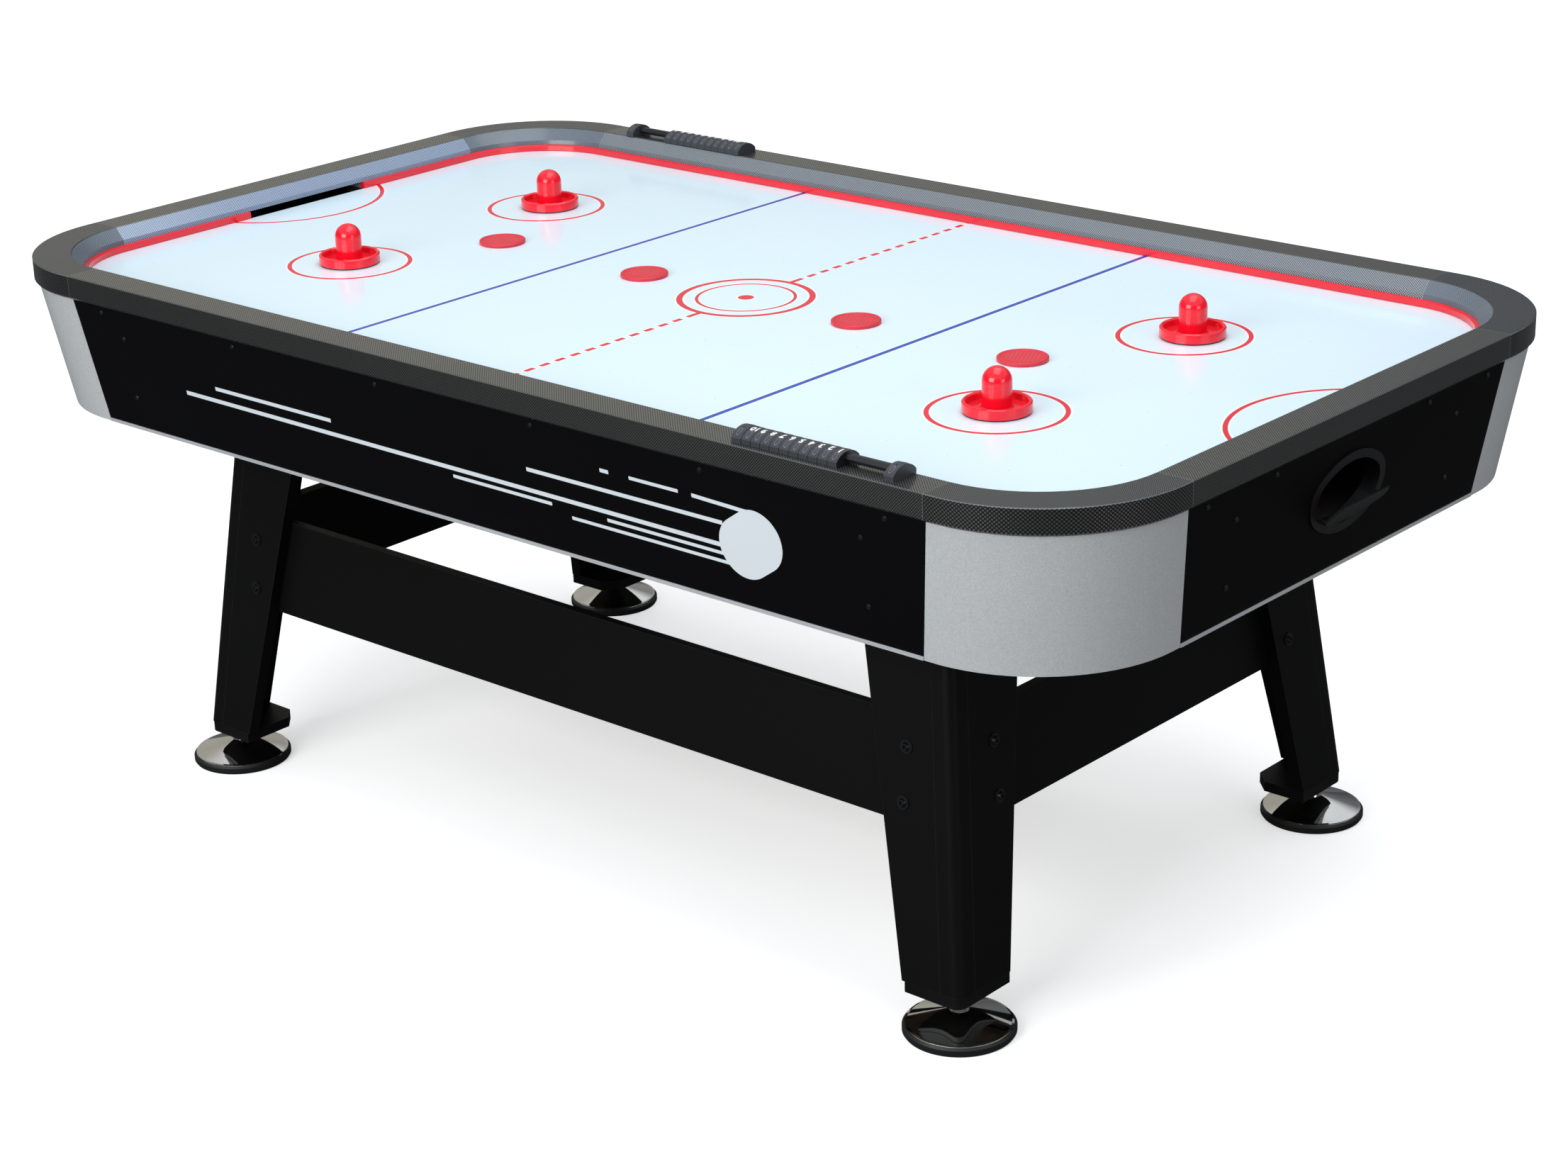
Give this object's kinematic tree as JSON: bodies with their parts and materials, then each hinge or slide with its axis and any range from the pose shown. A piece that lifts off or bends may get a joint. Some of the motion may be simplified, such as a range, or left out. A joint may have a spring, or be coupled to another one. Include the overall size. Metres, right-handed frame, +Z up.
{
  "type": "air hockey table",
  "caption": "Free-standing air hockey table: rounded rails round a white playing surface, sloping black cabinet, splayed legs on levelling feet, sliding scorers, mallets and pucks.",
  "frame": {"origin": "on the floor, midway between the four feet", "axes": "+X along the table's length, +Y across it towards the far long side, +Z up"},
  "size_m": [2.1552, 1.23, 0.8607],
  "materials": {
    "field_board": "gloss white laminate with printed lines",
    "rail_wrap": "carbon-weave film over board",
    "cushion": "gloss red",
    "panel": "matte black laminate",
    "corner_shell": "silver-grey metallic",
    "trim": "bright edge trim",
    "timber": "raw board",
    "base_board": "raw hardboard",
    "cup": "matte black",
    "leg": "satin black laminate",
    "leg_block": "black",
    "fastener": "black oxide",
    "scorer": "charcoal",
    "blower_plastic": "black",
    "motor": "grey",
    "foot": "polished, with black rubber ring",
    "mallet": "gloss red, black felt ring under it",
    "puck": "satin red",
    "switch": "red rocker"
  },
  "bodies": {
    "table": {"playfield": "field_board", "side_rails": "rail_wrap", "end_rails": "rail_wrap", "rail_corners": "rail_wrap", "cushion_strips": "cushion", "side_panels": "panel", "end_panels": "panel", "corner_shells": "corner_shell", "bottom_trims": "trim", "plenum_frame": "timber", "bottom_board": "base_board", "goal_boxes": "timber", "puck_cups": "cup", "leg_boards": "leg", "leg_corner_posts": "leg", "leg_end_blocks": "leg_block", "long_stretchers": "leg", "short_stretchers": "leg", "leg_bolts": "fastener", "panel_screws": "fastener", "scorer_rods": "scorer", "scorer_brackets": "scorer", "blower_housing": "blower_plastic", "blower_motor": "motor", "intake_guard": "blower_plastic", "power_inlet": "blower_plastic"},
    "blower_impeller": {"blower_impeller": "blower_plastic"},
    "power_switch": {"power_switch": "switch"},
    "foot_near_right": {"foot_near_right": "foot"},
    "foot_near_left": {"foot_near_left": "foot"},
    "foot_far_right": {"foot_far_right": "foot"},
    "foot_far_left": {"foot_far_left": "foot"},
    "mallet_near_right": {"mallet_near_right": "mallet"},
    "mallet_near_left": {"mallet_near_left": "mallet"},
    "mallet_far_right": {"mallet_far_right": "mallet"},
    "mallet_far_left": {"mallet_far_left": "mallet"},
    "puck_right_outer": {"puck_right_outer": "puck"},
    "puck_right_inner": {"puck_right_inner": "puck"},
    "puck_left_inner": {"puck_left_inner": "puck"},
    "puck_left_outer": {"puck_left_outer": "puck"},
    "near_bead_1": {"near_bead_1": "scorer"},
    "near_bead_2": {"near_bead_2": "scorer"},
    "near_bead_3": {"near_bead_3": "scorer"},
    "near_bead_4": {"near_bead_4": "scorer"},
    "near_bead_5": {"near_bead_5": "scorer"},
    "near_bead_6": {"near_bead_6": "scorer"},
    "near_bead_7": {"near_bead_7": "scorer"},
    "near_bead_8": {"near_bead_8": "scorer"},
    "near_bead_9": {"near_bead_9": "scorer"},
    "near_bead_10": {"near_bead_10": "scorer"},
    "far_bead_1": {"far_bead_1": "scorer"},
    "far_bead_2": {"far_bead_2": "scorer"},
    "far_bead_3": {"far_bead_3": "scorer"},
    "far_bead_4": {"far_bead_4": "scorer"},
    "far_bead_5": {"far_bead_5": "scorer"},
    "far_bead_6": {"far_bead_6": "scorer"},
    "far_bead_7": {"far_bead_7": "scorer"},
    "far_bead_8": {"far_bead_8": "scorer"},
    "far_bead_9": {"far_bead_9": "scorer"},
    "far_bead_10": {"far_bead_10": "scorer"}
  },
  "joints": [
    {"name": "near_bead_10_slide", "type": "slide", "parent": "table", "child": "near_bead_10", "axis": [1, 0, 0], "range_m": [0, 0.0073]},
    {"name": "near_bead_9_slide", "type": "slide", "parent": "near_bead_10", "child": "near_bead_9", "axis": [1, 0, 0], "range_m": [0, 0.0073]},
    {"name": "near_bead_8_slide", "type": "slide", "parent": "near_bead_9", "child": "near_bead_8", "axis": [1, 0, 0], "range_m": [0, 0.0073]},
    {"name": "near_bead_7_slide", "type": "slide", "parent": "near_bead_8", "child": "near_bead_7", "axis": [1, 0, 0], "range_m": [0, 0.0073]},
    {"name": "near_bead_6_slide", "type": "slide", "parent": "near_bead_7", "child": "near_bead_6", "axis": [1, 0, 0], "range_m": [0, 0.0073]},
    {"name": "near_bead_5_slide", "type": "slide", "parent": "near_bead_6", "child": "near_bead_5", "axis": [1, 0, 0], "range_m": [0, 0.0073]},
    {"name": "near_bead_4_slide", "type": "slide", "parent": "near_bead_5", "child": "near_bead_4", "axis": [1, 0, 0], "range_m": [0, 0.0073]},
    {"name": "near_bead_3_slide", "type": "slide", "parent": "near_bead_4", "child": "near_bead_3", "axis": [1, 0, 0], "range_m": [0, 0.0073]},
    {"name": "near_bead_2_slide", "type": "slide", "parent": "near_bead_3", "child": "near_bead_2", "axis": [1, 0, 0], "range_m": [0, 0.0073]},
    {"name": "near_bead_1_slide", "type": "slide", "parent": "near_bead_2", "child": "near_bead_1", "axis": [1, 0, 0], "range_m": [0, 0.0073]},
    {"name": "far_bead_10_slide", "type": "slide", "parent": "table", "child": "far_bead_10", "axis": [-1, 0, 0], "range_m": [0, 0.0073]},
    {"name": "far_bead_9_slide", "type": "slide", "parent": "far_bead_10", "child": "far_bead_9", "axis": [-1, 0, 0], "range_m": [0, 0.0073]},
    {"name": "far_bead_8_slide", "type": "slide", "parent": "far_bead_9", "child": "far_bead_8", "axis": [-1, 0, 0], "range_m": [0, 0.0073]},
    {"name": "far_bead_7_slide", "type": "slide", "parent": "far_bead_8", "child": "far_bead_7", "axis": [-1, 0, 0], "range_m": [0, 0.0073]},
    {"name": "far_bead_6_slide", "type": "slide", "parent": "far_bead_7", "child": "far_bead_6", "axis": [-1, 0, 0], "range_m": [0, 0.0073]},
    {"name": "far_bead_5_slide", "type": "slide", "parent": "far_bead_6", "child": "far_bead_5", "axis": [-1, 0, 0], "range_m": [0, 0.0073]},
    {"name": "far_bead_4_slide", "type": "slide", "parent": "far_bead_5", "child": "far_bead_4", "axis": [-1, 0, 0], "range_m": [0, 0.0073]},
    {"name": "far_bead_3_slide", "type": "slide", "parent": "far_bead_4", "child": "far_bead_3", "axis": [-1, 0, 0], "range_m": [0, 0.0073]},
    {"name": "far_bead_2_slide", "type": "slide", "parent": "far_bead_3", "child": "far_bead_2", "axis": [-1, 0, 0], "range_m": [0, 0.0073]},
    {"name": "far_bead_1_slide", "type": "slide", "parent": "far_bead_2", "child": "far_bead_1", "axis": [-1, 0, 0], "range_m": [0, 0.0073]},
    {"name": "foot_near_right_level", "type": "slide", "parent": "table", "child": "foot_near_right", "axis": [0, 0, -1], "range_m": [-0.008, 0.02]},
    {"name": "foot_near_left_level", "type": "slide", "parent": "table", "child": "foot_near_left", "axis": [0, 0, -1], "range_m": [-0.008, 0.02]},
    {"name": "foot_far_right_level", "type": "slide", "parent": "table", "child": "foot_far_right", "axis": [0, 0, -1], "range_m": [-0.008, 0.02]},
    {"name": "foot_far_left_level", "type": "slide", "parent": "table", "child": "foot_far_left", "axis": [0, 0, -1], "range_m": [-0.008, 0.02]},
    {"name": "mallet_near_right_glide", "type": "slide", "parent": "table", "child": "mallet_near_right", "axis": [1, 0, 0], "range_m": [-0.3204, 0.2896]},
    {"name": "mallet_near_left_glide", "type": "slide", "parent": "table", "child": "mallet_near_left", "axis": [1, 0, 0], "range_m": [-0.2896, 0.3204]},
    {"name": "mallet_far_right_glide", "type": "slide", "parent": "table", "child": "mallet_far_right", "axis": [1, 0, 0], "range_m": [-0.3318, 0.2782]},
    {"name": "mallet_far_left_glide", "type": "slide", "parent": "table", "child": "mallet_far_left", "axis": [1, 0, 0], "range_m": [-0.2949, 0.3151]},
    {"name": "puck_right_outer_glide", "type": "slide", "parent": "table", "child": "puck_right_outer", "axis": [1, 0, 0], "range_m": [-0.22, 0.41]},
    {"name": "puck_left_outer_glide", "type": "slide", "parent": "table", "child": "puck_left_outer", "axis": [1, 0, 0], "range_m": [-0.405, 0.24]},
    {"name": "puck_right_inner_glide", "type": "slide", "parent": "table", "child": "puck_right_inner", "axis": [0, 1, 0], "range_m": [-0.48, 0.48]},
    {"name": "puck_left_inner_glide", "type": "slide", "parent": "table", "child": "puck_left_inner", "axis": [0, 1, 0], "range_m": [-0.48, 0.48]},
    {"name": "blower_spin", "type": "hinge", "parent": "table", "child": "blower_impeller", "pos_m": [0, 0, 0.65], "axis": [0, 0, 1], "continuous": true},
    {"name": "power_switch_rock", "type": "hinge", "parent": "table", "child": "power_switch", "pos_m": [-0.548, 0.59445, 0.71542], "axis": [1, 0, 0], "range_deg": [-16, 0]}
  ]
}
